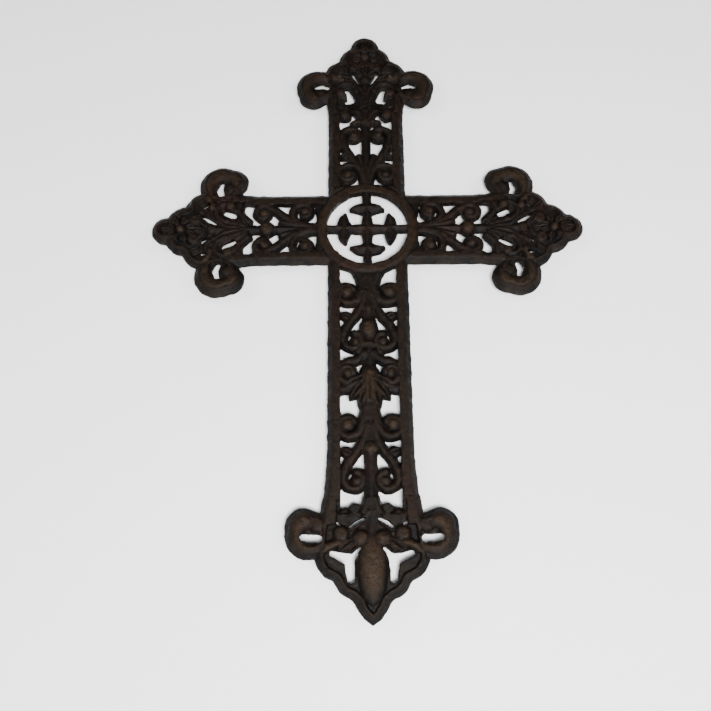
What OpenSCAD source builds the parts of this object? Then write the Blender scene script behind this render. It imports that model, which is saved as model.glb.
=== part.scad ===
// Openwork cast-iron cross, one flat-backed casting for a wall or a grave.
// X runs along the arms, +Z up the shaft, and the face looks along -Y.
// The origin is the ring's centre on the flat back, which lies in the plane y = 0.

/* [Cross] */
// Reach of the head, from the ring's centre to the top tip
head_reach = 164.5; // [150:0.5:198]
// Reach of the foot, from the ring's centre to the pointed tip
foot_reach = 254.5; // [212:0.5:306]
// Reach of each arm, from the ring's centre to its tip
arm_reach = 146; // [134:0.5:176]
// Width of the shaft and of the arms over their rails
limb_w = 53; // [46:0.5:64]

/* [Rails] */
// Width of a rail, with its outer bevel
rail_w = 8.1; // [6.7:0.1:9.8]
// Width of the outer bevel all round the outline
bevel_w = 4.3; // [3:0.1:5.2]
// Width of the raised rim that runs round the finials, with its bevel
rim_w = 5.6; // [5.2:0.1:7]
// How far the shaft's rails flare out on each side where they meet the foot
flare_w = 2.6; // [0:0.1:4]

/* [Ring] */
// Radius of the ring's opening
ring_hole_r = 27.1; // [24:0.1:28]
// Width of the ring, with its outer bevel
ring_w = 6.4; // [5.2:0.1:7]
// Width of the four stems of the small cross in the ring
stem_w = 5.6; // [4:0.1:7]
// Width of the stems where they meet in the middle
centre_w = 9.4; // [6:0.2:11]
// Distance of each leaf bar from the ring's centre
leaf_bar_at = 15.6; // [13:0.1:18]
// Length of a leaf bar from point to point
leaf_bar_l = 23.4; // [17:0.1:27]

/* [Finials] */
// Width of the finials of the head and the arms
finial_w = 99.6; // [84:0.2:120]
// Length of the finials of the head and the arms
finial_l = 64; // [54:0.5:77]
// Width of the foot's finial
foot_w = 102.6; // [86:0.2:124]
// Length of the foot's finial
foot_l = 66.5; // [56:0.5:80]

/* [Thickness] */
// Thickness of the pierced web and of the square outer edge
web_t = 2.2; // [1.8:0.1:3]
// Thickness over the rails
rail_t = 5; // [4.2:0.1:6]
// Thickness over the ring
ring_t = 5.5; // [4.6:0.1:6.6]
// Thickness over the highest bosses
boss_t = 6.4; // [5.4:0.1:8]

/* [Hidden] */
iron = [0.17, 0.13, 0.10];
window_half = limb_w / 2 - rail_w;
ring_out = ring_hole_r + ring_w;
head_window = head_reach - finial_l - 2;
arm_window = arm_reach - finial_l + 7;
foot_window = foot_reach - foot_l + 1;
// The patterns are drawn at these sizes, and stretch with what they fill
drawn_half = 18.4;
drawn_head = [drawn_half, 65];
drawn_arm = [drawn_half, 55.5];
drawn_foot = [drawn_half, 155.5];
drawn_finial = [49.8, 64];
drawn_toe = [51.3, 66.5];
// How far everything raised stands back from the web's edges
step_back = 0.25;
// Heights over the back: vines and rims, leaf bars and stems in the ring, low bosses
// and the foot's long leaf
vine_t = rail_t - 0.4;
leaf_bar_t = ring_t - 0.7;
stem_t = ring_t - 0.35;
boss_low = rail_t + 0.5;
ear_t = rail_t + 0.8;
// Gaps in the openwork narrower than twice this ran full of iron in the mould
web_r = 1.4;
// Points along one stretch of a vine, round one turn of a scroll and round a boss
vine_n = 1;
turn_n = 7;
boss_n = 6;
bar_n = 8;
ring_n = 32;

// ---- Curves -----------------------------------------------------------------

// A point a share t of the way from b to c on the curve through a, b, c and d
function between(a, b, c, d, t) =
    b + (c - a) * t / 2 + (2 * a - 5 * b + 4 * c - d) * pow(t, 2) / 2
    + (3 * b - a - 3 * c + d) * pow(t, 3) / 2;

// A smooth path through every point of a list
function smooth(p) =
    let (last = len(p) - 1)
    [for (i = [0 : last - 1]) for (k = [0 : vine_n - 1])
        between(p[max(i - 1, 0)], p[i], p[i + 1], p[min(i + 2, last)], k / vine_n),
     p[last]];

// A spiral round c, from radius r[0] at angle a[0] to radius r[1] at angle a[1]
function spiral(c, r, a) =
    let (n = ceil(abs(a[1] - a[0]) / 360 * turn_n))
    [for (i = [0 : n])
        let (t = i / n, angle = a[0] + (a[1] - a[0]) * t)
        c + (r[0] + (r[1] - r[0]) * t) * [cos(angle), sin(angle)]];

// The unit vector across a path at its point i
function across(p, i) =
    let (d = p[min(i + 1, len(p) - 1)] - p[max(i - 1, 0)])
    [-d.y, d.x] / norm(d);

// The two edges of a band along a path, w[0] wide at its start and w[1] at its end
function edge(p, w, side) =
    [for (i = [0 : len(p) - 1])
        p[i] + side * across(p, i) * (w[0] + (w[1] - w[0]) * i / (len(p) - 1)) / 2];

// ---- Motifs: flat outlines, and the bosses raised on them -------------------------

module pair() {
    children();
    mirror([1, 0, 0]) children();
}

// A ribbon along a path, w[0] wide at its start and w[1] at its end
module ribbon(p, w) {
    left = edge(p, w, 1);
    right = edge(p, w, -1);
    for (i = [0 : len(p) - 2]) polygon([left[i], right[i], right[i + 1], left[i + 1]]);
}

// A boss with half sizes r: an oval outline, or a bevelled dome of the height top
module boss(c, r, top, solid) {
    translate(c) scale([r.x, r.y, 1]) {
        if (solid) cylinder(r1 = 0.95, r2 = 0.55, h = top - web_t, $fn = boss_n);
        else circle(r = 1, $fn = boss_n);
    }
}

// A slot w wide with round ends
module slot(from, to, w) {
    along = (to - from) / norm(to - from) * w / 2;
    half = [-along.y, along.x];
    polygon([from + half, from - along, from - half, to - half, to + along, to + half]);
}

// A pattern is drawn on its right side and mirrored. Its vines are [path, widths] and
// its bosses [centre, half sizes, height]. The web has the outlines of both, the
// relief those of its vines, and the domes stand on them
module pattern(vines, bosses, layer) {
    pair() {
        if (layer != "domes") for (v = vines) ribbon(v[0], v[1]);
        if (layer != "relief") for (b = bosses) boss(b[0], b[1], b[2], layer == "domes");
    }
}

// ---- Planes in which the patterns are drawn ------------------------------------

// A limb's panel: u across from its centre line, v outward from the ring's edge
module panel_plane(reach, drawn) {
    translate([0, ring_out])
        scale([window_half / drawn.x, (reach - ring_out) / drawn.y, 1]) children();
}

// A finial: u across from its centre line, s back from its tip
module finial_plane(reach, w, l, drawn) {
    translate([0, reach]) mirror([0, 1, 0])
        scale([w / 2 / drawn.x, l / drawn.y, 1]) children();
}

module both_arms() for (turn = [-90, 90]) rotate(turn) children();

module on_head() finial_plane(head_reach, finial_w, finial_l, drawn_finial) children();
module on_arms() both_arms() finial_plane(arm_reach, finial_w, finial_l, drawn_finial) children();
module on_foot() rotate(180) finial_plane(foot_reach, foot_w, foot_l, drawn_toe) children();

// ---- Panels between the rails -----------------------------------------------------

// Next to the ring, each upper limb has a fan with a scroll on each side
fan_vines = [
    [concat(smooth([[1.5, -1], [3, 8]]), spiral([12.4, 10], [8.4, 3.6], [145, -150])),
        [4, 4]]];

// Head: a lyre that rises from the fan and curls inward round a central stem
module head_panel(layer) {
    vines = concat(fan_vines, [
        [[[0, -2], [0, 64]], [5, 4.6]],
        [concat(smooth([[1.6, 2], [3.6, 10], [6.8, 17.6], [11, 24.6], [15.4, 33]]),
            spiral([10, 42], [7, 2.8], [-20, 280])), [4.4, 4.4]],
        [smooth([[3, 56], [6.5, 62.5], [11, 65], [16, 61]]), [4.4, 5]]]);
    bosses = [
        [[13, 8.3], [4.8, 4.8], boss_low], [[8.3, 41], [4.8, 4.8], boss_t],
        [[15.2, 60], [4.4, 4.4], boss_low], [[0, 53.5], [4.8, 4.6], boss_low]];
    panel_plane(head_window, drawn_head) pattern(vines, bosses, layer);
}

// Arm: a branch from the fan that curls back round an acorn, and an arrow of leaves
module arm_panel(layer) {
    vines = concat(fan_vines, [
        [[[0, -2], [0, 60]], [5, 4.2]],
        [concat(smooth([[1, 5], [4.6, 15.5], [9.6, 22.8], [14.6, 29.5]]),
            spiral([12, 37], [6.2, 2.6], [-25, 270])), [4.6, 4.4]],
        [smooth([[0, 46], [6, 53], [13, 56], [18.4, 57]]), [5, 6]]]);
    bosses = [
        [[12.8, 8.2], [4.8, 4.6], boss_low], [[11.8, 36.6], [4.4, 4.4], boss_low],
        [[0, 34.5], [6.8, 6.4], boss_t]];
    panel_plane(arm_window, drawn_arm) pattern(vines, bosses, layer);
}

// Foot: two tiers of scrolls, branches and buds, with a husk of leaves between them
module foot_panel(layer) {
    tier_vines = [
        [concat(smooth([[1.6, 0], [4.2, 9.5], [9, 17.5], [13.8, 25]]),
            spiral([10, 37.5], [8, 5.4], [-34, 200])), [4.8, 5]],
        [concat([[2, -8]], spiral([13.5, 0.6], [8.4, 6.4], [165, -20])), [4.8, 4.4]]];
    tier_bosses = [
        [[14, 0], [5, 5], boss_low], [[8.9, 39.6], [4.8, 4.8], boss_low]];
    vines = [
        [[[0, -2], [0, 158]], [6.4, 6]],
        [concat([[3, 57]], spiral([13.6, 70.5], [7, 4.4], [110, -110])), [4.6, 4]],
        [concat([[2, 148]], spiral([13.8, 156.5], [7.6, 6.2], [165, -10])), [4.8, 4.6]]];
    bosses = [
        [[0, 40], [5.8, 7.6], boss_low], [[13.6, 70.5], [4.6, 4.6], boss_low],
        [[0, 76], [8.4, 14], boss_t], [[15.6, 79.5], [5, 4.8], boss_low],
        [[8.6, 85], [5, 5], boss_low],
        [[0, 123.5], [6.4, 5], boss_low], [[14.8, 156], [5, 5], boss_low]];
    panel_plane(foot_window, drawn_foot) {
        pattern(vines, bosses, layer);
        for (start = [14, 104]) translate([0, start])
            pattern(tier_vines, tier_bosses, layer);
    }
}

// ---- Finials -------------------------------------------------------------------------

// Lobes of an outline on its right side: [u, s, radius]
finial_lobes = [
    [0, 10.2, 10.2], [4.4, 23.6, 14.4], [13.8, 37.4, 16.1], [34.5, 46, 15.3], [37.4, 53.7, 10.3]];
toe_lobes = [[8.4, 28.2, 14.5], [18, 39.2, 15.6], [37, 50.5, 14.3], [40.2, 55.5, 11]];
// The foot's pointed tip lies between two circles, one on each side
toe_tip = [9, 17.5, 19.7];
// Half outline of a finial's body, from its tip lobe to the rails
body = [[10, 10], [30, 46], [26.5, 64], [26.5, 72]];

// A finial's outline: round lobes on a body that widens to the limb
module lobed(lobes) {
    pair() {
        for (l = lobes) translate([l[0], l[1]]) circle(r = l[2], $fn = 2 * ceil(l[2] * 0.46));
        polygon(concat([[0, 10]], body, [[0, 72]]));
    }
}

module finial_outline() lobed(finial_lobes);

module toe_outline() {
    lobed(toe_lobes);
    intersection_for (side = [-1, 1])
        translate([side * toe_tip[0], toe_tip[1]]) circle(r = toe_tip[2], $fn = 24);
}

// Head and arms: an ear on each side, a pair of scrolls, and a flower under the tip
module finial_relief(layer) {
    vines = [
        [[[0, 70], [0, 40]], [6, 4.6]],
        [[[0, 3], [0, 17]], [4.6, 7]],
        [concat([[2, 68]], spiral([14.5, 50], [8.7, 4.2], [178, 420])), [4.6, 4.2]],
        [smooth([[18, 39.5], [26, 36.2], [34.5, 36], [41.5, 39.4], [44.6, 46.5],
            [43.6, 54.5], [38.4, 58.8], [32.4, 56.6], [31, 51.8], [34.6, 49.4]]),
            [6, 7]]];
    bosses = [
        [[18.4, 53.4], [4.2, 4.2], boss_low], [[0, 41.3], [4.3, 4], boss_low],
        [[7.4, 29], [5, 4.8], boss_low], [[0, 19.8], [3.8, 3.8], boss_t],
        [[8, 17.6], [4, 4], boss_low]];
    pattern(vines, bosses, layer);
}

module finial_piercings() {
    pair() {
        slot([27.6, 43.9], [35.2, 43.6], 6);
        slot([4.8, 47], [8.6, 39.6], 2.3);
        polygon([[7.8, 59.6], [15.4, 60.2], [12.6, 54.4], [14.8, 48.6], [11, 46.8], [9.2, 53]]);
    }
}

// Foot: ears, scalloped leaves, and a long leaf that hangs down the middle
module toe_relief(layer) {
    vines = [
        [[[0, 70], [0, 50]], [6, 6]],
        [[[0, 48], [0, 36], [0, 15.5]], [17, 11]],
        [smooth([[20, 45], [28, 41.2], [36, 40.6], [42.6, 43.2], [46, 49.5], [45.4, 57],
            [40.2, 61], [34, 59], [30.5, 56]]), [6, 7]]];
    bosses = [
        [[18, 50.8], [5, 5], boss_low], [[6, 47.8], [5.6, 5.6], boss_t],
        [[12.8, 43], [4.2, 4.2], boss_low], [[0, 30], [7, 18], ear_t]];
    pattern(vines, bosses, layer);
}

module toe_piercings() {
    pair() {
        slot([31.4, 48.8], [38.8, 48.6], 6.4);
        slot([5.2, 59.6], [12.4, 56.4], 2);
        slot([7.8, 43.4], [11.8, 37.6], 2.6);
        slot([13, 37.4], [22, 40.4], 4);
        slot([12.7, 37], [12.8, 25.8], 5);
    }
}

// ---- Limbs and ring ------------------------------------------------------------------

// Corners of the shaft, of its flare at the foot, and of the arms: [x, y] on the right
shaft_low = foot_l - foot_reach;
shaft_high = head_reach - finial_l;
arm_end = arm_reach - finial_l;
flare_high = shaft_low + foot_l / 2;

// Everything raised stands on the web
module on_web() translate([0, 0, web_t]) children();

// The limbs' outlines, or the bevelled blocks that stand on them
module limbs(solid) {
    half = limb_w / 2;
    limb([[half, shaft_low], [half, shaft_high]], solid);
    limb([[half + flare_w, shaft_low], [half, flare_high]], solid);
    rotate(90) limb([[half, -arm_end], [half, arm_end]], solid);
}

// A limb between two mirrored pairs of corners
module limb(ends, solid) {
    corners = concat(ends, [for (e = [ends[1], ends[0]]) [-e.x, e.y]]);
    if (solid) hull() for (c = corners)
        translate([c.x - sign(c.x) * bevel_w, c.y, 0]) rotate(45)
            cylinder(r1 = (bevel_w - step_back) * sqrt(2), r2 = 0, h = rail_t - web_t, $fn = 4);
    else polygon(corners);
}

module windows() {
    translate([-window_half, -foot_window])
        square([2 * window_half, foot_window + head_window]);
    square([2 * arm_window, 2 * window_half], center = true);
}

module finials() {
    on_head() finial_outline();
    on_arms() finial_outline();
    on_foot() toe_outline();
}

// The small cross in the ring: two stems, and a bar of two leaves across each half
module ring_cross(solid) {
    reach = ring_hole_r + ring_w / 2;
    tip = leaf_bar_l / 2;
    for (turn = [0, 90]) rotate(turn)
        bar([[0, -reach], [0, 0], [0, reach]], [stem_w, centre_w, stem_w], stem_t, solid);
    for (turn = [0 : 90 : 270]) rotate(turn)
        bar([[-tip, leaf_bar_at], [0, leaf_bar_at], [tip, leaf_bar_at]],
            [stem_w * 0.6, stem_w * 1.9, stem_w * 0.6], leaf_bar_t, solid);
}

// A bar along a straight path, w wide at its points, with bevelled flanks
module bar(p, w, top, solid) {
    hull() for (i = [0 : len(p) - 1]) translate(p[i]) {
        if (solid) cylinder(d1 = w[i] - 2 * step_back, d2 = w[i] / 2, h = top - web_t, $fn = bar_n);
        else circle(d = w[i], $fn = bar_n);
    }
}

// ---- The whole casting -----------------------------------------------------------------

module panels(layer) {
    head_panel(layer);
    both_arms() arm_panel(layer);
    rotate(180) foot_panel(layer);
}

module reliefs(layer) {
    on_head() finial_relief(layer);
    on_arms() finial_relief(layer);
    on_foot() toe_relief(layer);
}

module piercings() {
    on_head() finial_piercings();
    on_arms() finial_piercings();
    on_foot() toe_piercings();
}

// What fills the windows, run a little way into the rails
module openwork(layer) {
    intersection() {
        offset(delta = rail_w / 3) windows();
        panels(layer);
    }
}

// The outline of everything, with every opening. Narrow gaps in the openwork are
// closed, which joins its loose ends
module web() {
    difference() {
        offset(delta = -web_r) offset(delta = web_r) {
            openwork("web");
            difference() {
                offset(delta = rail_w / 2) windows();
                windows();
            }
            circle(r = ring_out, $fn = ring_n);
        }
        circle(r = ring_hole_r, $fn = ring_n);
    }
    difference() {
        union() {
            limbs(false);
            finials();
        }
        windows();
        piercings();
    }
    ring_cross(false);
}

// The relief that stands level with the rails: vines, and the finials' raised rims
module relief() {
    offset(delta = -step_back) difference() {
        union() {
            openwork("relief");
            difference() {
                offset(delta = -bevel_w / 2) finials();
                difference() {
                    offset(delta = -rim_w) finials();
                    limbs(false);
                }
                windows();
            }
            intersection() {
                offset(delta = -bevel_w) finials();
                reliefs("relief");
            }
        }
        piercings();
    }
}

module through() translate([0, 0, -1]) linear_extrude(boss_t + 2) children();

module ring() {
    cylinder(r1 = ring_out - step_back, r2 = ring_out - bevel_w / 2, h = ring_t - web_t,
        $fn = ring_n);
}

module cross() {
    color(iron) rotate([90, 0, 0]) {
        linear_extrude(web_t) web();
        on_web() {
            difference() {
                union() {
                    difference() {
                        limbs(true);
                        through() offset(delta = step_back) windows();
                    }
                    linear_extrude(vine_t - web_t) relief();
                    panels("domes");
                    reliefs("domes");
                    ring();
                }
                through() circle(r = ring_hole_r + step_back, $fn = ring_n);
            }
            ring_cross(true);
        }
    }
}

cross();
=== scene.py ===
"""Looks of an openwork cast-iron cross: the casting in full relief, its old iron surface,
and a pale stage. Sizes are in millimetres until a mesh is made, and come from the frame."""

import math

import bpy
import numpy as np
from bpy.props import FloatProperty, PointerProperty
from mathutils import Matrix, Vector


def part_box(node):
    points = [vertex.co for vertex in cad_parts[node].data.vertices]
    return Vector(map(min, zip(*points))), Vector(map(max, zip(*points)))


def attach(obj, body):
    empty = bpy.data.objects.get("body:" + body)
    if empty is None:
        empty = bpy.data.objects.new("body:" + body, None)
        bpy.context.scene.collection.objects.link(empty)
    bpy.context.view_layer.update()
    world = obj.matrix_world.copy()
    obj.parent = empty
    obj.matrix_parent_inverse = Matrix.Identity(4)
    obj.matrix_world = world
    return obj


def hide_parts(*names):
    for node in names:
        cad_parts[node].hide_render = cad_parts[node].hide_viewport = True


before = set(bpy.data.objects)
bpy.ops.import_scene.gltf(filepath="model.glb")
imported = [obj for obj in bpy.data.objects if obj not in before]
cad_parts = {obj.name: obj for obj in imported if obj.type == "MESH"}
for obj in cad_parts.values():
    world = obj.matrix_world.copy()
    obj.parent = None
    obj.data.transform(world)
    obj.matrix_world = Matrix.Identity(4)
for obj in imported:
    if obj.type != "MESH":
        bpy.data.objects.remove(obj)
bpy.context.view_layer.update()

bl_info = {
    "name": "Openwork cast-iron cross",
    "version": (1, 0, 0),
    "blender": (4, 5, 0),
    "location": "3D View > Sidebar > Cast cross",
    "description": "Models a flat-backed iron cross with pierced scrollwork",
    "category": "Object",
}

MM = 0.001
LOW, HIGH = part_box("cross")
HEAD_REACH = HIGH[2] / MM
FOOT_REACH = -LOW[2] / MM
ARM_REACH = HIGH[0] / MM
THICKNESS = -LOW[1] / MM
THINNEST = 1.2

# The limbs, rails and ring, as the frame has them
LIMB_HALF = 26.5
WINDOW_HALF = 18.4
BEVEL = 4.3
FLARE = 2.6
RING_HOLE = 27.1
RING_OUT = 33.5
RING_CROWN = 34.6  # the ring's crown laps over the rails' ends
LIMB_LAP = 10.0  # how far a limb runs on under its finial

# Slopes and lines of the relief, in mm
RIM_FALL = 1.1  # width of the slope from a finial's rim down to its field
LINE_IN, LINE_DEEP, LINE_WIDE = 2.1, 0.35, 0.35  # the line cut round a finial's rim
JOIN_FROM, JOIN_OVER = 0.5, 4.0  # where a limb's rim gives way to the finial's field
FADE_FROM, FADE_OVER = 9.0, 6.0  # where the rails sink into the finial's field
RAIL_IN, RAIL_SLOPE = 1.2, 1.4  # from the window's edge to the rail, and the rail's inner slope
SHOULDER_WIDE, SHOULDER_DEEP = 2.6, 1.5  # the ring's rounding outside
LIP_WIDE, LIP_DEEP = 0.9, 0.8  # and at its hole

# Lengths of the finials and of the windows between them and the ring
FINIAL_L = 64.0
TOE_L = 66.5
HEAD_WINDOW = HEAD_REACH - FINIAL_L - 2
ARM_WINDOW = ARM_REACH - FINIAL_L + 7
FOOT_WINDOW = FOOT_REACH - TOE_L + 1

# The patterns were drawn for these lengths, and stretch with their limbs
DRAWN_HEAD = 65.0
DRAWN_ARM = 55.5
DRAWN_FOOT = 155.5


# ---- Curves ----------------------------------------------------------------------------


def smooth(points, n=7):
    """A smooth path through every point."""
    p = np.array(points, float)
    p = np.vstack([2 * p[0] - p[1], p, 2 * p[-1] - p[-2]])
    t = np.linspace(0, 1, n, endpoint=False)[:, None]
    path = [
        b + (c - a) * t / 2 + (2 * a - 5 * b + 4 * c - d) * t**2 / 2 + (3 * b - a - 3 * c + d) * t**3 / 2
        for a, b, c, d in zip(p[:-3], p[1:-2], p[2:-1], p[3:])
    ]
    return np.vstack(path + [p[-2:-1]])


def spiral(centre, radii, turn):
    """A spiral round a centre, between two radii and two angles in degrees."""
    n = math.ceil(abs(turn[1] - turn[0]) / 12)
    t = np.linspace(0, 1, n + 1)
    angle = np.radians(turn[0] + (turn[1] - turn[0]) * t)
    r = radii[0] + (radii[1] - radii[0]) * t
    return np.column_stack([centre[0] + r * np.cos(angle), centre[1] + r * np.sin(angle)])


def smooth_max(a, b, blend):
    """The larger of two fields, with their crossing filled like a casting's fillet."""
    return np.maximum(a, b) + np.maximum(blend - np.abs(a - b), 0) ** 2 / (4 * blend)


def ease(x):
    x = np.clip(x, 0, 1)
    return x * x * (3 - 2 * x)


# ---- The relief as a height map --------------------------------------------------------


class Relief:
    """Points on the face, each with how far inside the iron it lies and how high it stands."""

    def __init__(self, u, v, web, swell=1.0, margin=0.0):
        self.u, self.v, self.web = u, v, web
        self.swell, self.margin = swell, margin
        self.inside = np.full(u.shape, -9.0)
        self.height = np.full(u.shape, web)

    def near(self, low, high):
        return np.nonzero(
            (self.u > low[0]) & (self.u < high[0]) & (self.v > low[1]) & (self.v < high[1])
        )[0]

    def put(self, at, inside, height, fillet=0.9, blend=0.5):
        self.inside[at] = smooth_max(self.inside[at], inside + self.margin, fillet)
        on = inside > -0.3
        at = at[on]
        self.height[at] = smooth_max(self.height[at], height[on], blend)

    def vine(self, path, widths, top, ridge=0.0, floor=None):
        """A crowned ribbon along a path; ridge sharpens its crest."""
        path = np.asarray(path, float)
        reach = max(widths) / 2 + 3
        at = self.near(path.min(0) - reach, path.max(0) + reach)
        if not len(at):
            return
        p = np.column_stack([self.u[at], self.v[at]])
        best = np.full(len(at), -9.0)
        share = np.ones(len(at))
        lengths = np.linalg.norm(np.diff(path, axis=0), axis=1)
        run = np.concatenate([[0], np.cumsum(lengths)]) / lengths.sum()
        for i in range(len(path) - 1):
            d = path[i + 1] - path[i]
            t = np.clip(((p - path[i]) @ d) / max(d @ d, 1e-9), 0, 1)
            off = np.linalg.norm(p - path[i] - t[:, None] * d, axis=1)
            s = run[i] + (run[i + 1] - run[i]) * t
            half = np.interp(s, np.linspace(0, 1, len(widths)), widths) / 2 * self.swell
            better = half - off > best
            best[better] = (half - off)[better]
            share[better] = (off / half)[better]
        floor = self.web if floor is None else floor
        q = np.clip(share, 0, 1)
        crown = (1 - q**2) ** 0.62 * (1 - ridge) + (1 - q) * ridge
        self.put(at, best, floor + (top - floor) * crown)

    def boss(self, centre, half, top, floor=None, dimple=0.0):
        """An oval dome, or with a dimple, a cupped one."""
        half = np.asarray(half, float)
        centre = np.asarray(centre, float)
        at = self.near(centre - half - 3, centre + half + 3)
        du = (self.u[at] - centre[0]) / half[0]
        dv = (self.v[at] - centre[1]) / half[1]
        q = np.hypot(du, dv)
        floor = self.web if floor is None else floor
        crown = np.sqrt(np.clip(1 - q**2, 0, 1)) - dimple * np.exp(-((q / 0.42) ** 2))
        self.put(at, (1 - q) * half.min(), floor + (top - floor) * crown)

    def leaf(self, start, end, width, top, floor=None, vein=0.5, belly=0.45):
        """A pointed leaf with a sunk vein, widest a share belly along it."""
        a, b = np.asarray(start, float), np.asarray(end, float)
        reach = width + 3
        at = self.near(np.minimum(a, b) - reach, np.maximum(a, b) + reach)
        d = b - a
        length = np.linalg.norm(d)
        d /= length
        rel = np.column_stack([self.u[at], self.v[at]]) - a
        t = rel @ d / length
        off = np.abs(rel @ np.array([-d[1], d[0]]))
        tt = np.clip(t, 0, 1)
        skew = np.where(tt < belly, tt / belly, (1 - tt) / (1 - belly))
        half = width / 2 * np.sin(np.clip(skew, 0, 1) * math.pi / 2) ** 0.8
        past = np.maximum(np.maximum(-t, t - 1), 0) * length
        inside = half - off - past
        q = np.clip(off / np.maximum(half, 0.2), 0, 1)
        floor = self.web if floor is None else floor
        crown = (1 - q**2) ** 0.6 - vein * np.exp(-((off / 0.7) ** 2)) * (skew > 0.05)
        self.put(at, inside, floor + (top - floor) * crown * ease(skew * 2.4 + 0.25))


# ---- Panels between the rails ----------------------------------------------------------


def fan(r, top):
    """The palmette that springs from the ring, with a scroll on each side."""
    r.vine([[0, -3], [0, 27]], [5.4, 4.4], top - 0.5, 0.4)
    r.vine(smooth([[1.8, -2], [3, 8], [5.8, 14.5]]), [3.6, 4.4], top - 0.3)
    r.vine(smooth([[1.2, 3], [2.2, 14], [5, 24.5]]), [3, 3.4], top - 0.2)
    r.vine(spiral([12.6, 9.6], [8.2, 3.4], [150, -180]), [4.4, 3.8], top)
    r.vine([[8, -2], [18.6, -1]], [3.6, 4], top - 1)
    r.boss([13, 8.6], [3.9, 3.9], top + 0.7)


def head_panel(r, top):
    """A lyre rises from the fan and curls inward round a central stem."""
    fan(r, top)
    r.vine([[0, 20], [0, 64]], [4.2, 5], top - 0.4, 0.5)
    lyre = smooth([[1.6, 2], [3.6, 10], [6.8, 17.6], [11, 24.6], [15, 32.5], [16.8, 40.5]])
    r.vine(lyre, [3.6, 5, 4.8], top)
    r.vine(spiral([10, 42], [6.9, 3], [-20, 290]), [4.8, 4.2], top)
    r.boss([8.6, 41.3], [3.3, 3.3], top + 1)
    r.leaf([12.6, 26.6], [18.8, 22.6], 4.6, top - 0.2)
    r.vine([[15, 34], [19, 33]], [4, 5], top - 0.6)
    r.vine(smooth([[2, 55], [5.5, 62], [10.5, 65.5], [16.4, 61.5]]), [4, 5, 5], top)
    r.boss([14.8, 59.6], [4.4, 4.4], top + 0.6)
    r.boss([0, 53.5], [4.6, 4.4], top + 0.5)
    r.vine(smooth([[0, 50], [4, 54], [8.4, 52.6]]), [3.4, 4], top - 0.2)
    r.boss([8.4, 66.5], [4.8, 4.4], top - 0.2)
    r.leaf([0, 58], [4.4, 67], 4.4, top)


def arm_panel(r, top):
    """A branch from the fan curls back round an acorn, with an arrow of leaves beyond."""
    fan(r, top)
    r.vine([[0, 20], [0, 58]], [4.4, 5], top - 0.5, 0.4)
    r.vine(smooth([[1, 5], [4.6, 16], [9.4, 22.8], [14.2, 28.8], [17.2, 35]]), [4, 5, 4.8], top)
    r.vine(spiral([12.2, 36.8], [5.9, 2.8], [-25, 290]), [4.6, 4], top)
    r.boss([11.8, 36.4], [3.6, 3.6], top + 0.8)
    r.boss([0, 34.5], [5.4, 5.6], top + 1.3)
    r.leaf([0, 46], [8, 54], 5, top)
    r.leaf([1, 49], [11, 60.5], 6.4, top)
    r.vine(smooth([[6, 47], [12, 52.8], [18.8, 53.5]]), [4, 5], top - 0.2)
    r.boss([14.6, 57.6], [4.8, 4.4], top)
    r.leaf([0, 50], [0, 66], 8, top + 0.2)


def foot_tier(r, top, at):
    """One tier of the shaft: low scrolls, and a branch that curls round a bud."""
    branch = [[1.8, at], [4.4, at + 9.5], [8.8, at + 17.5], [13.2, at + 23], [16.2, at + 29.5]]
    r.vine(smooth(branch), [4, 4.8, 4.8], top)
    r.vine(spiral([9.6, at + 33.6], [7.4, 4], [-34, 260]), [4.8, 4.2], top)
    r.vine(spiral([13.4, at + 0.4], [8, 4], [172, -150]), [5, 4.4], top)
    r.vine(smooth([[1.6, at - 12], [3, at - 4], [5.6, at + 2]]), [4, 5], top - 0.2)
    r.leaf([10.5, at + 19], [19, at + 15], 6.4, top - 0.1)
    r.vine([[15.4, at + 30], [19.5, at + 28]], [3.6, 4.6], top - 0.5)
    r.boss([13.8, at], [4.6, 4.6], top + 0.9)
    r.boss([8.6, at + 35], [3.6, 3.6], top + 0.4)


def foot_panel(r, top):
    """Two tiers of scrolls and buds, with a husk of leaves between them."""
    r.vine([[0, -3], [0, 160]], [6.4, 6], top - 0.5, 0.5)
    for at in (14, 104):
        foot_tier(r, top, at)
    r.vine(smooth([[7.4, -3], [4.4, 6], [3.6, 13], [6, 20]]), [6, 5], top - 0.3)
    r.boss([0, 26], [3.6, 5.4], top + 0.2)
    r.boss([0, 40], [5.7, 7.6], top + 1)
    r.vine(smooth([[0, 50], [4.4, 52], [7, 56]]), [4, 4], top)
    r.vine(smooth([[2.6, 57], [8, 61.5], [14, 63], [19, 67]]), [5, 5], top - 0.2)
    r.vine(spiral([13.4, 70.5], [6.4, 3.4], [100, -170]), [4.6, 4], top)
    r.boss([13.6, 70.5], [3.6, 3.6], top + 0.7)
    r.boss([0, 73], [6.4, 9], top + 0.8)
    r.leaf([0, 66], [0, 92], 11, top + 1.4, vein=0.3)
    r.leaf([2, 72], [17, 80], 9, top + 0.4)
    r.leaf([2, 74], [12.6, 88], 8.4, top + 0.6)
    r.leaf([1.6, 76], [6.4, 93], 7, top + 0.8)
    r.vine([[14, 80], [19.5, 81]], [6, 6], top - 0.4)
    r.vine(smooth([[2, 88], [3.4, 97], [6, 107]]), [5.4, 5], top - 0.2)
    r.boss([0, 119], [5.4, 5], top + 0.9)
    r.vine(smooth([[2.2, 150], [4, 155.5], [7, 160.5]]), [4.4, 4.4], top - 0.2)
    r.vine(spiral([13.4, 160.6], [6.6, 4], [165, -60]), [4.4, 4], top)
    r.boss([14.2, 160.4], [3.8, 3.8], top + 0.6)


# ---- Finials ---------------------------------------------------------------------------

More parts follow.
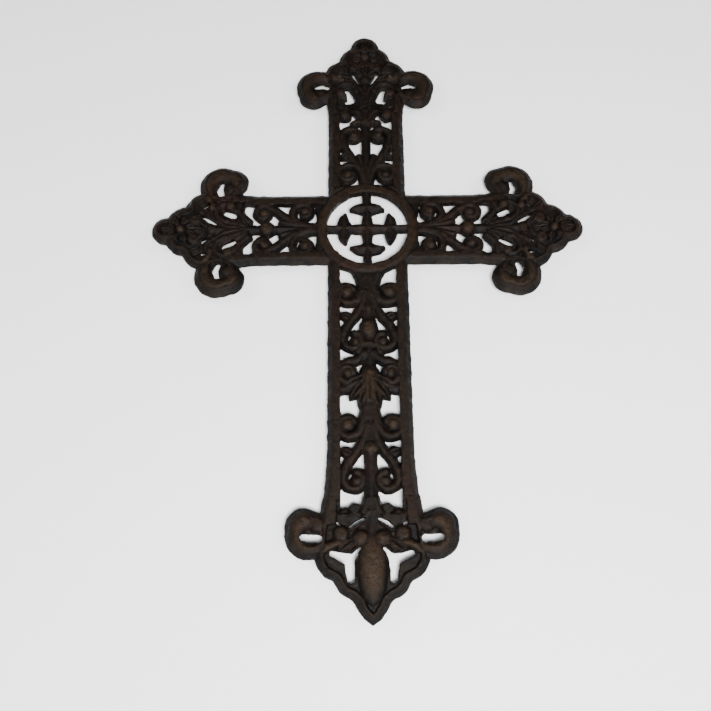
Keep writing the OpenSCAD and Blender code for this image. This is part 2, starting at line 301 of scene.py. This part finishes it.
# Lobes on the right side of an outline: across, back from the tip, and radius
FINIAL_LOBES = (
    (0, 10.2, 10.2), (4.4, 23.6, 14.4), (13.8, 37.4, 16.1), (34.5, 46, 15.3), (37.4, 53.7, 10.3),
)
TOE_LOBES = ((8.4, 28.2, 14.5), (18, 39.2, 15.6), (37, 50.5, 14.3), (40.2, 55.5, 11))
# The pointed tip lies between two circles, one on each side
TOE_TIP = (9, 17.5, 19.7)
# The bodies the lobes stand on, through the notches between them
FINIAL_BODY = ((-12, 9.5), (8, 9.5), (27, 31), (30, 46), (26.4, 70), (-40, 70))
TOE_BODY = ((-12, 2.5), (1, 2.5), (33, 35), (33, 46), (29, 73), (-40, 73))
# How far the notches are filled
SCALLOP = 0.7


def in_polygon(u, v, corners):
    """Distance inside a convex run of corners, given clockwise or not."""
    c = np.array(corners, float)
    middle = c.mean(0)
    inside = np.full(u.shape, 99.0)
    for a, b in zip(c, np.roll(c, -1, 0)):
        n = np.array([b[1] - a[1], a[0] - b[0]])
        n /= np.linalg.norm(n)
        if (middle - a) @ n < 0:
            n = -n
        inside = np.minimum(inside, (u - a[0]) * n[0] + (v - a[1]) * n[1])
    return inside


def in_lobes(u, s, lobes, body):
    inside = in_polygon(u, s, body)
    for lu, ls, radius in lobes:
        inside = smooth_max(inside, radius - np.hypot(u - lu, s - ls), SCALLOP)
    return inside


def in_toe(u, s):
    tip = np.minimum(
        TOE_TIP[2] - np.hypot(u - TOE_TIP[0], s - TOE_TIP[1]),
        TOE_TIP[2] - np.hypot(u + TOE_TIP[0], s - TOE_TIP[1]),
    )
    return smooth_max(in_lobes(u, s, TOE_LOBES, TOE_BODY), tip, 1.2)


def finial_relief(r, top, floor):
    """An ear on each side, a pair of scrolls, and a flower under the tip."""
    r.vine([[0, 72], [0, 40]], [6, 5], top - 0.3, 0.4, floor)
    r.vine(smooth([[1.8, 70], [2.8, 60], [5, 54]]), [4, 4.6], top - 0.2, 0, floor)
    r.vine(smooth([[0.8, 60], [2.4, 50], [6.6, 44], [10.4, 37]]), [3, 4], top - 0.1, 0, floor)
    r.vine(spiral([14.6, 50.4], [8.4, 3.4], [175, 470]), [4.8, 4], top, 0, floor)
    r.boss([17.6, 52.6], [4, 4], top + 1, floor)
    r.leaf([22, 57], [26, 66], 6, top, floor)
    ear = [[17, 40.5], [25, 37.6], [33.5, 37.4], [40, 40.6], [42.6, 46.8], [41.6, 53.6], [37.4, 57.6]]
    r.vine(smooth(ear), [6, 8, 10, 11, 11], top + 1, 0, floor)
    r.boss([32, 53.4], [4.6, 5.4], top + 0.3, floor)
    r.leaf([24, 52], [23.4, 42], 5, top + 0.3, floor)
    r.boss([0, 41], [4.3, 4], top + 0.5, floor)
    r.leaf([1, 38], [13, 29], 6.4, top + 0.3, floor)
    r.leaf([3, 42], [20, 37], 6, top + 0.1, floor)
    r.boss([7.4, 29], [4.8, 4.4], top + 0.8, floor, 0.25)
    r.leaf([12.6, 34], [19.6, 25.6], 5.4, top + 0.2, floor)
    r.leaf([0, 36], [0, 24], 5, top, floor)
    flower = np.array([0, 19.8])
    r.boss(flower, [3.6, 3.6], top + 1.3, floor)
    for turn in (-70, -20, 30, 78):
        a = math.radians(turn)
        out = np.array([math.cos(a), -math.sin(a)])
        r.leaf(flower + 3 * out, flower + 10.4 * out, 6, top + 0.4, floor, 0.35, 0.6)
    r.leaf([0, 16], [0, 5], 6.6, top + 0.4, floor)


def finial_openings():
    return (
        ((27, 46.2), (31, 44.6), 3.4, 4),
        ((31, 44.6), (36, 46), 4, 2.8),
        ((9.2, 35), (4.8, 42.8), 2.8, 2.4),
        ((9.8, 58.4), (13, 59.2), 4.4, 3.6),
        ((9.9, 57.4), (13, 50), 5, 4),
        ((17.8, 34.8), (19, 38), 1.8, 3),
    )


def toe_relief(r, top, floor):
    """Ears, scalloped leaves, and a long leaf that hangs down the middle."""
    r.vine([[0, 72], [0, 50]], [6, 7], top - 0.3, 0.4, floor)
    ear = smooth([[19, 46], [27, 43], [35, 41.6], [41.4, 43.6], [44.2, 49.5], [43.2, 56], [38.6, 59.4]])
    r.vine(ear, [5, 6.6, 8, 10, 10.6], top + 1, 0, floor)
    r.boss([32, 56], [5, 4.4], top + 0.3, floor)
    r.boss([18, 51], [5, 5], top + 0.9, floor, 0.2)
    r.leaf([22, 57], [26, 66], 6, top, floor)
    r.boss([6.4, 48.6], [5.4, 4.8], top + 0.9, floor)
    r.leaf([7, 47], [14, 39.6], 7, top + 0.3, floor)
    r.leaf([10, 48.4], [20.6, 40.4], 7, top + 0.3, floor)
    r.leaf([13, 49.6], [26.6, 43.2], 7, top + 0.3, floor)
    r.boss([0, 32], [9, 21.5], top + 1.5, floor)
    r.leaf([3, 48], [6.4, 30], 6, top + 0.6, floor, 0.3)
    r.vine(smooth([[2, 64], [6, 58], [12, 54]]), [4, 4], top, 0, floor)


def toe_openings():
    return (
        ((31.4, 48.4), (40, 48.9), 4.8, 4.2),
        ((4.6, 59.4), (9, 57.4), 2.2, 2.2),
        ((9, 57.4), (12.6, 54.8), 2.2, 1.8),
        ((19.6, 56.4), (20.4, 57.4), 2, 1.6),
        ((7.4, 42.6), (11.6, 37.2), 2, 4),
        ((15, 37), (23.4, 39.8), 6, 3.2),
        ((13.2, 36.4), (12.4, 25.4), 6.2, 4.4),
    )


def cut_openings(r, openings):
    """Round-ended slots through the plate, each tapering between two widths."""
    for a, b, w0, w1 in openings:
        a, b = np.array(a, float), np.array(b, float)
        reach = max(w0, w1) + 3
        at = r.near(np.minimum(a, b) - reach, np.maximum(a, b) + reach)
        p = np.column_stack([r.u[at], r.v[at]])
        d = b - a
        t = np.clip(((p - a) @ d) / (d @ d), 0, 1)
        off = np.linalg.norm(p - a - t[:, None] * d, axis=1)
        out = off - (w0 + (w1 - w0) * t) / 2
        r.inside[at] = -smooth_max(-r.inside[at], -out, 0.8)


# ---- The whole casting as one height map -----------------------------------------------


def turned(x, z, turn):
    """Coordinates across and along a limb that points at turn degrees from the head."""
    a = math.radians(turn)
    return x * math.cos(a) - z * math.sin(a), x * math.sin(a) + z * math.cos(a)


def rail_profile(d, size):
    """Height over a rail at a distance d in from its outer edge: an edge, then a bevel."""
    return size.edge_t + (size.rail_t - size.edge_t) * ease(d / BEVEL) ** 0.9


def panels(x, z, size):
    inside = np.full(x.shape, -9.0)
    height = np.full(x.shape, size.web_t)
    limbs = (
        (0, head_panel, HEAD_WINDOW, DRAWN_HEAD),
        (90, arm_panel, ARM_WINDOW, DRAWN_ARM),
        (-90, arm_panel, ARM_WINDOW, DRAWN_ARM),
        (180, foot_panel, FOOT_WINDOW, DRAWN_FOOT),
    )
    for turn, panel, reach, drawn in limbs:
        u, v = turned(x, z, turn)
        at = np.nonzero((np.abs(u) < WINDOW_HALF + 2) & (v > RING_OUT - 5) & (v < reach + 3))[0]
        stretch = drawn / (reach - RING_OUT)
        r = Relief(np.abs(u[at]), (v[at] - RING_OUT) * stretch, size.web_t, 1.2, 0.55)
        panel(r, size.rail_t)
        inside[at] = np.maximum(inside[at], r.inside)
        height[at] = np.maximum(height[at], r.height)
    return inside, height


def lane(x, z):
    """Distance from the centre line of the limb a point belongs to."""
    return np.where(np.abs(z) > np.abs(x), np.abs(x), np.abs(z))


def windows(x, z):
    """How far inside the openings between the rails a point lies. Their ends follow scrolls."""
    wave = 2.4 * np.cos(lane(x, z) * math.tau / WINDOW_HALF)
    ends = np.minimum(HEAD_WINDOW - 1 + wave - z, z + FOOT_WINDOW - 1 + wave)
    upright = np.minimum(WINDOW_HALF - np.abs(x), ends)
    level = np.minimum(WINDOW_HALF - np.abs(z), ARM_WINDOW - 1 + wave - np.abs(x))
    return np.maximum(upright, level)


def limbs(x, z):
    """How far inside the limbs' outline a point lies."""
    low = TOE_L - FOOT_REACH
    flare = FLARE * np.clip((low + TOE_L / 2 - z) / (TOE_L / 2), 0, 1) ** 1.2
    ends = np.minimum(HEAD_REACH - FINIAL_L + LIMB_LAP - z, z - low + LIMB_LAP)
    shaft = np.minimum(LIMB_HALF + flare - np.abs(x), ends)
    arms = np.minimum(LIMB_HALF - np.abs(z), ARM_REACH - FINIAL_L + LIMB_LAP - np.abs(x))
    return np.maximum(shaft, arms)


def finials(x, z, size):
    """How far inside the finials a point lies, their carving, and how far from their openings."""
    plate = np.full(x.shape, -99.0)
    carved = np.full(x.shape, size.floor_t)
    pierced = np.full(x.shape, 99.0)
    for turn, reach, toe in (
        (0, HEAD_REACH, False),
        (90, ARM_REACH, False),
        (-90, ARM_REACH, False),
        (180, FOOT_REACH, True),
    ):
        u, v = turned(x, z, turn)
        s = reach - v
        length = TOE_L if toe else FINIAL_L
        at = np.nonzero((s < length + 12) & (np.abs(u) < 60))[0]
        uu, ss = np.abs(u[at]), s[at]
        outline = in_toe(uu, ss) if toe else in_lobes(uu, ss, FINIAL_LOBES, FINIAL_BODY)
        r = Relief(uu, ss, size.floor_t, 1.08)
        (toe_relief if toe else finial_relief)(r, size.rail_t - 0.2, size.floor_t)
        r.inside = outline.copy()
        cut_openings(r, toe_openings() if toe else finial_openings())
        plate[at] = np.maximum(plate[at], outline)
        carved[at] = np.maximum(carved[at], r.height)
        pierced[at] = np.minimum(pierced[at], np.where(outline > 0, r.inside, 99))
    return plate, carved, pierced


def add_ring(x, z, inside, height, gap, size):
    """The ring, its hole and the small cross in it."""
    radius = np.hypot(x, z)
    ring = np.minimum(RING_CROWN - radius, radius - RING_HOLE)
    shoulder = SHOULDER_DEEP * ease((radius - RING_CROWN + SHOULDER_WIDE) / SHOULDER_WIDE) ** 1.5
    lip = LIP_DEEP * ease((RING_HOLE + LIP_WIDE - radius) / LIP_WIDE)
    crown = size.ring_t - shoulder - lip
    inside = np.where(radius < RING_HOLE, -9, smooth_max(inside, ring, 1.0))
    beside = np.where(gap > 0, height, height * 0.9)
    height = np.where(ring > -0.2, smooth_max(beside, crown, 0.4), height)
    inner = np.nonzero(radius < RING_HOLE + 2.5)[0]
    small = Relief(x[inner], z[inner], size.web_t)
    ring_cross(small, size)
    inside[inner] = smooth_max(inside[inner], small.inside, 1.0)
    height[inner] = np.where(radius[inner] < RING_HOLE + 0.2, small.height, height[inner])
    return inside, height


def casting(x, z, size):
    """Distance inside the iron and height over the back, at every point of the face."""
    wide, stretched = panels(x, z, size)
    body = limbs(x, z)
    gap = windows(x, z)
    plate, carved, pierced = finials(x, z, size)

    # The outline with its bevel, the finials' rims and fields, and a line round their rims
    outline = smooth_max(body, plate, 1.2)
    solid = np.minimum(outline, -gap)
    field = ease((outline - size.rim_w) / RIM_FALL)
    rim = rail_profile(outline, size)
    line = LINE_DEEP * np.exp(-(((outline - LINE_IN) / LINE_WIDE) ** 2))
    floor = rim * (1 - field) + carved * field
    in_finial = ease((plate - JOIN_FROM) / JOIN_OVER)
    rails = rim * (body > 0) * ease((lane(x, z) - (WINDOW_HALF + RAIL_IN)) / RAIL_SLOPE)
    faded = rails * (1 - ease((plate - FADE_FROM) / FADE_OVER))
    height = rim * (1 - in_finial) + np.maximum(floor, faded) * in_finial
    height = height - line * (plate > 0) * (body < 0)
    inside = np.where(plate > 0, np.minimum(solid, pierced), solid)

    # What fills the windows, run a little way under the finials
    inside = smooth_max(inside, np.minimum(wide, gap + 3), 1.4)
    past = ease((plate - 1) / 8)
    over = np.maximum(stretched, np.minimum(carved, size.rail_t + 1) * past)
    edge = height * np.clip(1 - gap / 0.8, 0, 1)
    height = np.where(gap > 0, smooth_max(over, edge, 0.2), height)
    height = np.where((gap <= 0) & (gap > -6) & (plate > 6), np.maximum(height, stretched), height)
    return add_ring(x, z, inside, height, gap, size)


def ring_cross(r, size):
    """Four stems, each crossed by a bar of two pointed leaves with a bevelled ridge."""
    for turn in (0, 90, 180, 270):
        a = math.radians(turn)
        along = np.array([math.sin(a), math.cos(a)])
        side = np.array([along[1], -along[0]])
        stem = [along * 0, along * 14, along * (RING_HOLE + 2)]
        r.vine(stem, [9.6, 6.4, 5.8, 6.4], size.ring_t - 0.4, 0.75)
        for way in (-1, 1):
            centre = along * 15.4
            tip = centre + side * way * 10.6 - along * 0.6
            leaf = smooth([centre, centre + side * way * 5.5 + along * 0.4, tip])
            r.vine(leaf, [10.2, 8.8, 6.4, 3], size.ring_t - 0.3, 0.8)


# ---- From the height map to a mesh -----------------------------------------------------


def waves(x, z, size_mm, seed):
    """Smooth random unevenness of a given grain, between about -1 and 1."""
    random = np.random.default_rng(seed)
    total = np.zeros(x.shape)
    for _ in range(14):
        angle = random.uniform(0, math.tau)
        k = math.tau / (size_mm * random.uniform(0.7, 1.5))
        total += np.sin(k * (x * math.cos(angle) + z * math.sin(angle)) + random.uniform(0, math.tau))
    return total / math.sqrt(14)


def marched(inside, height, x0, z0, step):
    """Triangles of the iron's face, cut at its edge where inside crosses zero."""
    rows, cols = inside.shape
    index = np.arange(rows * cols).reshape(rows, cols)
    a, b = index[:-1, :-1].ravel(), index[:-1, 1:].ravel()
    c, d = index[1:, 1:].ravel(), index[1:, :-1].ravel()
    triangles = np.vstack([np.column_stack([a, b, c]), np.column_stack([a, c, d])])
    flat, top = inside.ravel(), height.ravel()
    values = flat[triangles]
    count = (values > 0).sum(1)
    full = triangles[count == 3]

    def rolled(chosen, wanted):
        """Turns each triangle until its odd corner, the one that is wanted, comes first."""
        turn = np.argmax((flat[chosen] > 0) == wanted, axis=1)
        order = (turn[:, None] + np.arange(3)) % 3
        return np.take_along_axis(chosen, order, 1)

    one = rolled(triangles[count == 1], True)
    two = rolled(triangles[count == 2], False)
    cut = np.vstack([one[:, [0, 1]], one[:, [0, 2]], two[:, [1, 0]], two[:, [2, 0]]])
    keys, back = np.unique(cut[:, 0].astype(np.int64) * rows * cols + cut[:, 1], return_inverse=True)
    back = back.ravel() + rows * cols
    n1, n2 = len(one), len(two)
    e01, e02 = back[:n1], back[n1 : 2 * n1]
    f10, f20 = back[2 * n1 : 2 * n1 + n2], back[2 * n1 + n2 :]
    faces = np.vstack([
        full,
        np.column_stack([one[:, 0], e01, e02]),
        np.column_stack([two[:, 1], two[:, 2], f20]),
        np.column_stack([two[:, 1], f20, f10]),
    ])
    rim = np.vstack([np.column_stack([e01, e02]), np.column_stack([f20, f10])])
    i, j = keys // (rows * cols), keys % (rows * cols)
    t = flat[i] / (flat[i] - flat[j])
    gx, gz = index.ravel() % cols * step + x0, index.ravel() // cols * step + z0
    px = np.concatenate([gx, gx[i] + (gx[j] - gx[i]) * t])
    pz = np.concatenate([gz, gz[i] + (gz[j] - gz[i]) * t])
    ph = np.concatenate([top, top[i] + (top[j] - top[i]) * t])
    used, faces_flat = np.unique(faces, return_inverse=True)
    remap = np.full(rows * cols + len(keys), -1)
    remap[used] = np.arange(len(used))
    return px[used], pz[used], ph[used], faces_flat.reshape(-1, 3), remap[rim]


def build_casting(size):
    step = size.grain
    pad = 1.5
    xs = np.arange(LOW[0] / MM - pad, HIGH[0] / MM + pad, step)
    zs = np.arange(LOW[2] / MM - pad, HIGH[2] / MM + pad, step)
    x, z = np.meshgrid(xs, zs)
    shape = x.shape
    x, z = x.ravel(), z.ravel()
    # An old mould's edges wander a little
    wander = size.rough_edge
    wx = x + wander * waves(x, z, 7, 3) + wander * 0.5 * waves(x, z, 2.6, 5)
    wz = z + wander * waves(x, z, 8, 4) + wander * 0.5 * waves(x, z, 2.4, 6)
    inside, height = casting(wx, wz, size)
    # Rounded top edges, then the skin of a sand casting
    r = size.round_r
    e = np.clip(inside, 0, r)
    height = height - (r - np.sqrt(np.maximum(r * r - (r - e) ** 2, 0)))
    coarse, middling, fine = waves(x, z, 5, 11), waves(x, z, 1.9, 12), waves(x, z, 1.1, 13)
    height += size.skin * (0.6 * coarse + 0.5 * middling + 0.35 * fine)
    height = np.clip(height, THINNEST, THICKNESS)
    # Nothing passes the real outline
    reach = np.minimum(
        np.minimum(HIGH[0] / MM - np.abs(x), HEAD_REACH - z), z + FOOT_REACH
    )
    inside = np.minimum(inside, reach)
    return xs, zs, inside.reshape(shape), height.reshape(shape)


def make_casting(size):
    xs, zs, inside, height = build_casting(size)
    px, pz, ph, faces, rim = marched(inside, height, xs[0], zs[0], size.grain)
    n = len(px)
    front = np.column_stack([px, -ph, pz])
    rear = np.column_stack([px, np.zeros(n), pz])
    walls = np.vstack([
        np.column_stack([rim[:, 0], rim[:, 1], rim[:, 1] + n]),
        np.column_stack([rim[:, 0], rim[:, 1] + n, rim[:, 0] + n]),
    ])[:, ::-1]
    triangles = np.vstack([faces, faces[:, ::-1] + n, walls])
    mesh = bpy.data.meshes.new("cross_casting")
    mesh.from_pydata((np.vstack([front, rear]) * MM).tolist(), [], triangles.tolist())
    mesh.update()
    return mesh


# ---- Materials -------------------------------------------------------------------------


def linear(hex_colour):
    """An sRGB hex colour as linear RGBA."""
    parts = [int(hex_colour[i : i + 2], 16) / 255 for i in (1, 3, 5)]
    return [c / 12.92 if c <= 0.04045 else ((c + 0.055) / 1.055) ** 2.4 for c in parts] + [1]


def add_node(tree, kind, inputs=None, **settings):
    """Adds a node, with its settings, and its inputs as values or as links."""
    node = tree.nodes.new(kind)
    for name, value in settings.items():
        setattr(node, name, value)
    for name, value in (inputs or {}).items():
        if isinstance(value, bpy.types.NodeSocket):
            tree.links.new(value, node.inputs[name])
        else:
            node.inputs[name].default_value = value
    return node


def old_cast_iron():
    """Grey iron cast in sand and left bare outdoors. Its skin is near-black oxide, porous and
    finely pitted, so it gives back little sheen; the crests are rubbed brown and catch a faint
    satin light; dark red rust sits in patches, and olive dust lies in the hollows."""
    material = bpy.data.materials.new("sand_cast_iron_oxidised")
    material.use_nodes = True
    tree = material.node_tree
    tree.nodes.clear()
    place = add_node(tree, "ShaderNodeTexCoord").outputs["Object"]
    crest = add_node(tree, "ShaderNodeAttribute", attribute_name="crest").outputs["Fac"]

    def noise(grain_mm, detail=4, rough=0.6):
        return add_node(tree, "ShaderNodeTexNoise", {
            "Vector": place, "Scale": 1 / (grain_mm * MM), "Detail": detail, "Roughness": rough,
        }).outputs["Fac"]

    def band(value, low, high, to_low=0.0, to_high=1.0):
        return add_node(tree, "ShaderNodeMapRange", {
            "Value": value, "From Min": low, "From Max": high, "To Min": to_low, "To Max": to_high,
        }).outputs["Result"]

    def times(a, b):
        return add_node(tree, "ShaderNodeMath", {0: a, 1: b}, operation="MULTIPLY").outputs[0]

    def mix(share, a, b):
        node = add_node(tree, "ShaderNodeMix", {0: share, 6: a, 7: b}, data_type="RGBA")
        return node.outputs[2]

    patches, blotches, grain, sand = noise(38), noise(9), noise(2.2), noise(0.55, 2)
    skin = mix(band(blotches, 0.35, 0.68), linear("#040303"), linear("#0b0806"))
    skin = mix(times(band(crest, 0.5, 0.9), band(grain, 0.3, 0.62)), skin, linear("#211810"))
    skin = mix(times(band(patches, 0.5, 0.64), band(grain, 0.42, 0.66, 0, 0.75)), skin, linear("#200e09"))
    dust = times(band(crest, 0.46, 0.2), band(blotches, 0.4, 0.62, 0, 0.5))
    skin = mix(dust, skin, linear("#1b1710"))
    skin = mix(times(band(crest, 0.72, 1), band(sand, 0.45, 0.7, 0, 0.6)), skin, linear("#453729"))

    bump_sand = add_node(tree, "ShaderNodeBump", {"Strength": 0.5, "Distance": 0.00025, "Height": sand})
    bump = add_node(tree, "ShaderNodeBump", {
        "Strength": 0.55, "Distance": 0.0006, "Height": grain, "Normal": bump_sand.outputs["Normal"],
    })
    shader = add_node(tree, "ShaderNodeBsdfPrincipled", {
        "Base Color": skin,
        "Metallic": band(crest, 0.4, 0.95, 0.2, 0.5),
        "Specular IOR Level": 0.12,
        "Roughness": band(grain, 0.3, 0.7, 0.42, 0.72),
        "Normal": bump.outputs["Normal"],
    })
    add_node(tree, "ShaderNodeOutputMaterial", {"Surface": shader.outputs["BSDF"]})
    return material


def matt_paint(name, colour, grain_mm, one_sided=False):
    """Matt emulsion paint, rolled on: soft and even, with a faint grain."""
    material = bpy.data.materials.new(name)
    material.use_nodes = True
    tree = material.node_tree
    tree.nodes.clear()
    place = add_node(tree, "ShaderNodeTexCoord").outputs["Object"]
    grain = add_node(tree, "ShaderNodeTexNoise", {
        "Vector": place, "Scale": 1 / (grain_mm * MM), "Detail": 3,
    })
    tone = add_node(tree, "ShaderNodeMix", {
        0: grain.outputs["Fac"], 6: linear(colour), 7: [min(1, c * 1.05) for c in linear(colour)],
    }, data_type="RGBA")
    bump = add_node(tree, "ShaderNodeBump", {
        "Strength": 0.1, "Distance": 0.0003, "Height": grain.outputs["Fac"],
    })
    shader = add_node(tree, "ShaderNodeBsdfPrincipled", {
        "Base Color": tone.outputs[2], "Roughness": 0.6, "Normal": bump.outputs["Normal"],
    })
    surface = shader.outputs["BSDF"]
    if one_sided:
        behind = add_node(tree, "ShaderNodeNewGeometry").outputs["Backfacing"]
        clear = add_node(tree, "ShaderNodeBsdfTransparent")
        shown = add_node(tree, "ShaderNodeMixShader", {0: behind, 1: surface, 2: clear.outputs[0]})
        surface = shown.outputs[0]
    add_node(tree, "ShaderNodeOutputMaterial", {"Surface": surface})
    return material


# ---- Sizes a user would change ---------------------------------------------------------


class CastCrossSizes(bpy.types.PropertyGroup):
    grain: FloatProperty(
        name="Grain", default=0.5, min=0.3, max=2,
        description="Spacing of the points the relief is modelled with, in mm",
    )
    web_t: FloatProperty(
        name="Web", default=2.3, min=1.5, max=3,
        description="Thickness of the web between the vines, in mm",
    )
    edge_t: FloatProperty(
        name="Edge", default=2.0, min=1, max=3,
        description="Thickness at the foot of the outer bevel, in mm",
    )
    floor_t: FloatProperty(
        name="Finial floor", default=2.6, min=2, max=4,
        description="Thickness of a finial's sunk field, in mm",
    )
    rail_t: FloatProperty(
        name="Rails", default=5.0, min=4, max=5.4,
        description="Thickness over the rails, in mm",
    )
    ring_t: FloatProperty(
        name="Ring", default=5.5, min=4.5, max=6,
        description="Thickness over the ring, in mm",
    )
    rim_w: FloatProperty(
        name="Rim", default=5.0, min=4, max=7,
        description="Width of the finials' raised rim, in mm",
    )
    round_r: FloatProperty(
        name="Edge rounding", default=0.9, min=0.2, max=1.5,
        description="Radius that sand and wear left on edges, in mm",
    )
    rough_edge: FloatProperty(
        name="Rough edge", default=0.16, min=0, max=0.5,
        description="How far the mould's edges wander, in mm",
    )
    skin: FloatProperty(
        name="Skin", default=0.1, min=0, max=0.4,
        description="Height of the casting's unevenness, in mm",
    )
    triangles: FloatProperty(
        name="Triangles", default=188000, min=20000, max=195000,
        description="Most triangles of the finished casting",
    )


class CastCrossStage(bpy.types.PropertyGroup):
    key: FloatProperty(
        name="Key light", default=24, min=0, unit="POWER",
        description="Power of the large soft light below the front",
    )
    fill: FloatProperty(
        name="Fill light", default=10, min=0, unit="POWER",
        description="Power of the soft lights around",
    )


# ---- Operators -------------------------------------------------------------------------


class CAST_CROSS_OT_casting(bpy.types.Operator):
    """Model the whole cross as one iron casting, with its relief and its oxidised skin"""

    bl_idname = "cast_cross.casting"
    bl_label = "Cast the cross"

    def execute(self, context):
        size = context.scene.cast_cross_sizes
        mesh = make_casting(size)
        piece = bpy.data.objects.new("cross_casting", mesh)
        context.collection.objects.link(piece)
        context.view_layer.objects.active = piece
        thin = piece.modifiers.new("thin", "DECIMATE")
        thin.ratio = min(1, size.triangles / len(mesh.polygons))
        evaluated = piece.evaluated_get(context.evaluated_depsgraph_get())
        finished = bpy.data.meshes.new_from_object(evaluated)
        piece.modifiers.clear()
        piece.data = finished
        finished.name = "cross_casting"
        finished.shade_smooth()
        finished.set_sharp_from_angle(angle=math.radians(48))
        points = np.empty(len(finished.vertices) * 3)
        finished.vertices.foreach_get("co", points)
        depth = -points.reshape(-1, 3)[:, 1] / MM
        crest = finished.attributes.new("crest", "FLOAT", "POINT")
        crest.data.foreach_set("value", np.clip((depth - 1.5) / (THICKNESS - 1.7), 0, 1))
        finished.materials.append(old_cast_iron())
        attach(piece, "root")
        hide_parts("cross")
        return {"FINISHED"}


class CAST_CROSS_OT_stage(bpy.types.Operator):
    """Set the pale wall and floor, the soft lights and the camera"""

    bl_idname = "cast_cross.stage"
    bl_label = "Set the stage"

    def execute(self, context):
        stage = context.scene.cast_cross_stage
        make_wall_and_floor()
        make_lights(stage)
        make_camera(context.scene)
        return {"FINISHED"}


def make_plane(name, corners, material):
    mesh = bpy.data.meshes.new(name)
    mesh.from_pydata(corners, [], [(0, 1, 2, 3)])
    obj = bpy.data.objects.new(name, mesh)
    mesh.materials.append(material)
    bpy.context.collection.objects.link(obj)
    return obj


FLOOR_Z = -0.62
WALL_Y = 0.006
STAGE_HALF = 3.0


def make_wall_and_floor():
    wall_paint = matt_paint("matt_wall_paint", "#f4f4f5", 3, one_sided=True)
    floor_paint = matt_paint("matt_floor_paint", "#e9e9e9", 3)
    w = STAGE_HALF
    upright = [(-w, WALL_Y, FLOOR_Z), (w, WALL_Y, FLOOR_Z), (w, WALL_Y, w), (-w, WALL_Y, w)]
    wall = make_plane("wall", upright, wall_paint)
    wall.visible_shadow = False
    level = [(-w, -w, FLOOR_Z), (w, -w, FLOOR_Z), (w, w, FLOOR_Z), (-w, w, FLOOR_Z)]
    make_plane("floor", level, floor_paint)


def make_light(name, at, aim, size, power):
    data = bpy.data.lights.new(name, "AREA")
    data.shape = "DISK"
    data.size = size
    data.energy = power
    obj = bpy.data.objects.new(name, data)
    obj.location = at
    obj.rotation_euler = (Vector(aim) - Vector(at)).to_track_quat("-Z", "Y").to_euler()
    bpy.context.collection.objects.link(obj)


def make_lights(stage):
    make_light("key", (0.1, -0.85, -0.52), (0, 0, -0.03), 0.3, stage.key)
    make_light("fill_right", (1.1, -0.9, 0.1), (0, 0, 0), 0.7, stage.fill)
    make_light("fill_left", (-1.1, -0.9, 0.3), (0, 0, 0), 0.7, stage.fill)
    make_light("fill_back", (0.7, 1.2, 0.4), (0, 0, -0.04), 0.9, stage.fill * 1.2)
    make_light("fill_back_left", (-0.9, 1.0, 0.1), (0, 0, -0.04), 0.9, stage.fill)
    world = bpy.data.worlds.new("soft_room")
    world.use_nodes = True
    world.node_tree.nodes["Background"].inputs["Color"].default_value = (0.85, 0.9, 1, 1)
    world.node_tree.nodes["Background"].inputs["Strength"].default_value = 0.2
    bpy.context.scene.world = world


# The view: from below the middle, looking up
TILT = math.radians(21.6)
ROLL = math.radians(-0.5)
LENS = 41.2
DISTANCE = 0.517
AIM = (-0.0087, 0.0, -0.0909)


def make_camera(scene):
    data = bpy.data.cameras.new("camera")
    data.lens = LENS
    data.sensor_width = 36
    data.clip_start = 0.01
    camera = bpy.data.objects.new("camera", data)
    # Camera axes: right, up, and back towards the viewer
    back = Vector((0, -math.cos(TILT), -math.sin(TILT)))
    up = Vector((0, -math.sin(TILT), math.cos(TILT)))
    right = up.cross(back)
    turn = Matrix.Rotation(ROLL, 3, back)
    basis = Matrix((turn @ right, turn @ up, turn @ back)).transposed()
    camera.matrix_world = Matrix.Translation(Vector(AIM) + DISTANCE * back) @ basis.to_4x4()
    scene.collection.objects.link(camera)
    scene.camera = camera


class CAST_CROSS_PT_panel(bpy.types.Panel):
    bl_label = "Cast cross"
    bl_idname = "CAST_CROSS_PT_panel"
    bl_space_type = "VIEW_3D"
    bl_region_type = "UI"
    bl_category = "Cast cross"

    def draw(self, context):
        for group in (context.scene.cast_cross_sizes, context.scene.cast_cross_stage):
            for name in group.__annotations__:
                self.layout.prop(group, name)
        self.layout.operator(CAST_CROSS_OT_casting.bl_idname)
        self.layout.operator(CAST_CROSS_OT_stage.bl_idname)


CLASSES = (
    CastCrossSizes,
    CastCrossStage,
    CAST_CROSS_OT_casting,
    CAST_CROSS_OT_stage,
    CAST_CROSS_PT_panel,
)


def register():
    for cls in CLASSES:
        bpy.utils.register_class(cls)
    bpy.types.Scene.cast_cross_sizes = PointerProperty(type=CastCrossSizes)
    bpy.types.Scene.cast_cross_stage = PointerProperty(type=CastCrossStage)


def unregister():
    del bpy.types.Scene.cast_cross_stage
    del bpy.types.Scene.cast_cross_sizes
    for cls in reversed(CLASSES):
        bpy.utils.unregister_class(cls)


def main():
    register()
    bpy.ops.cast_cross.casting()
    bpy.ops.cast_cross.stage()


if __name__ == "__main__":
    main()
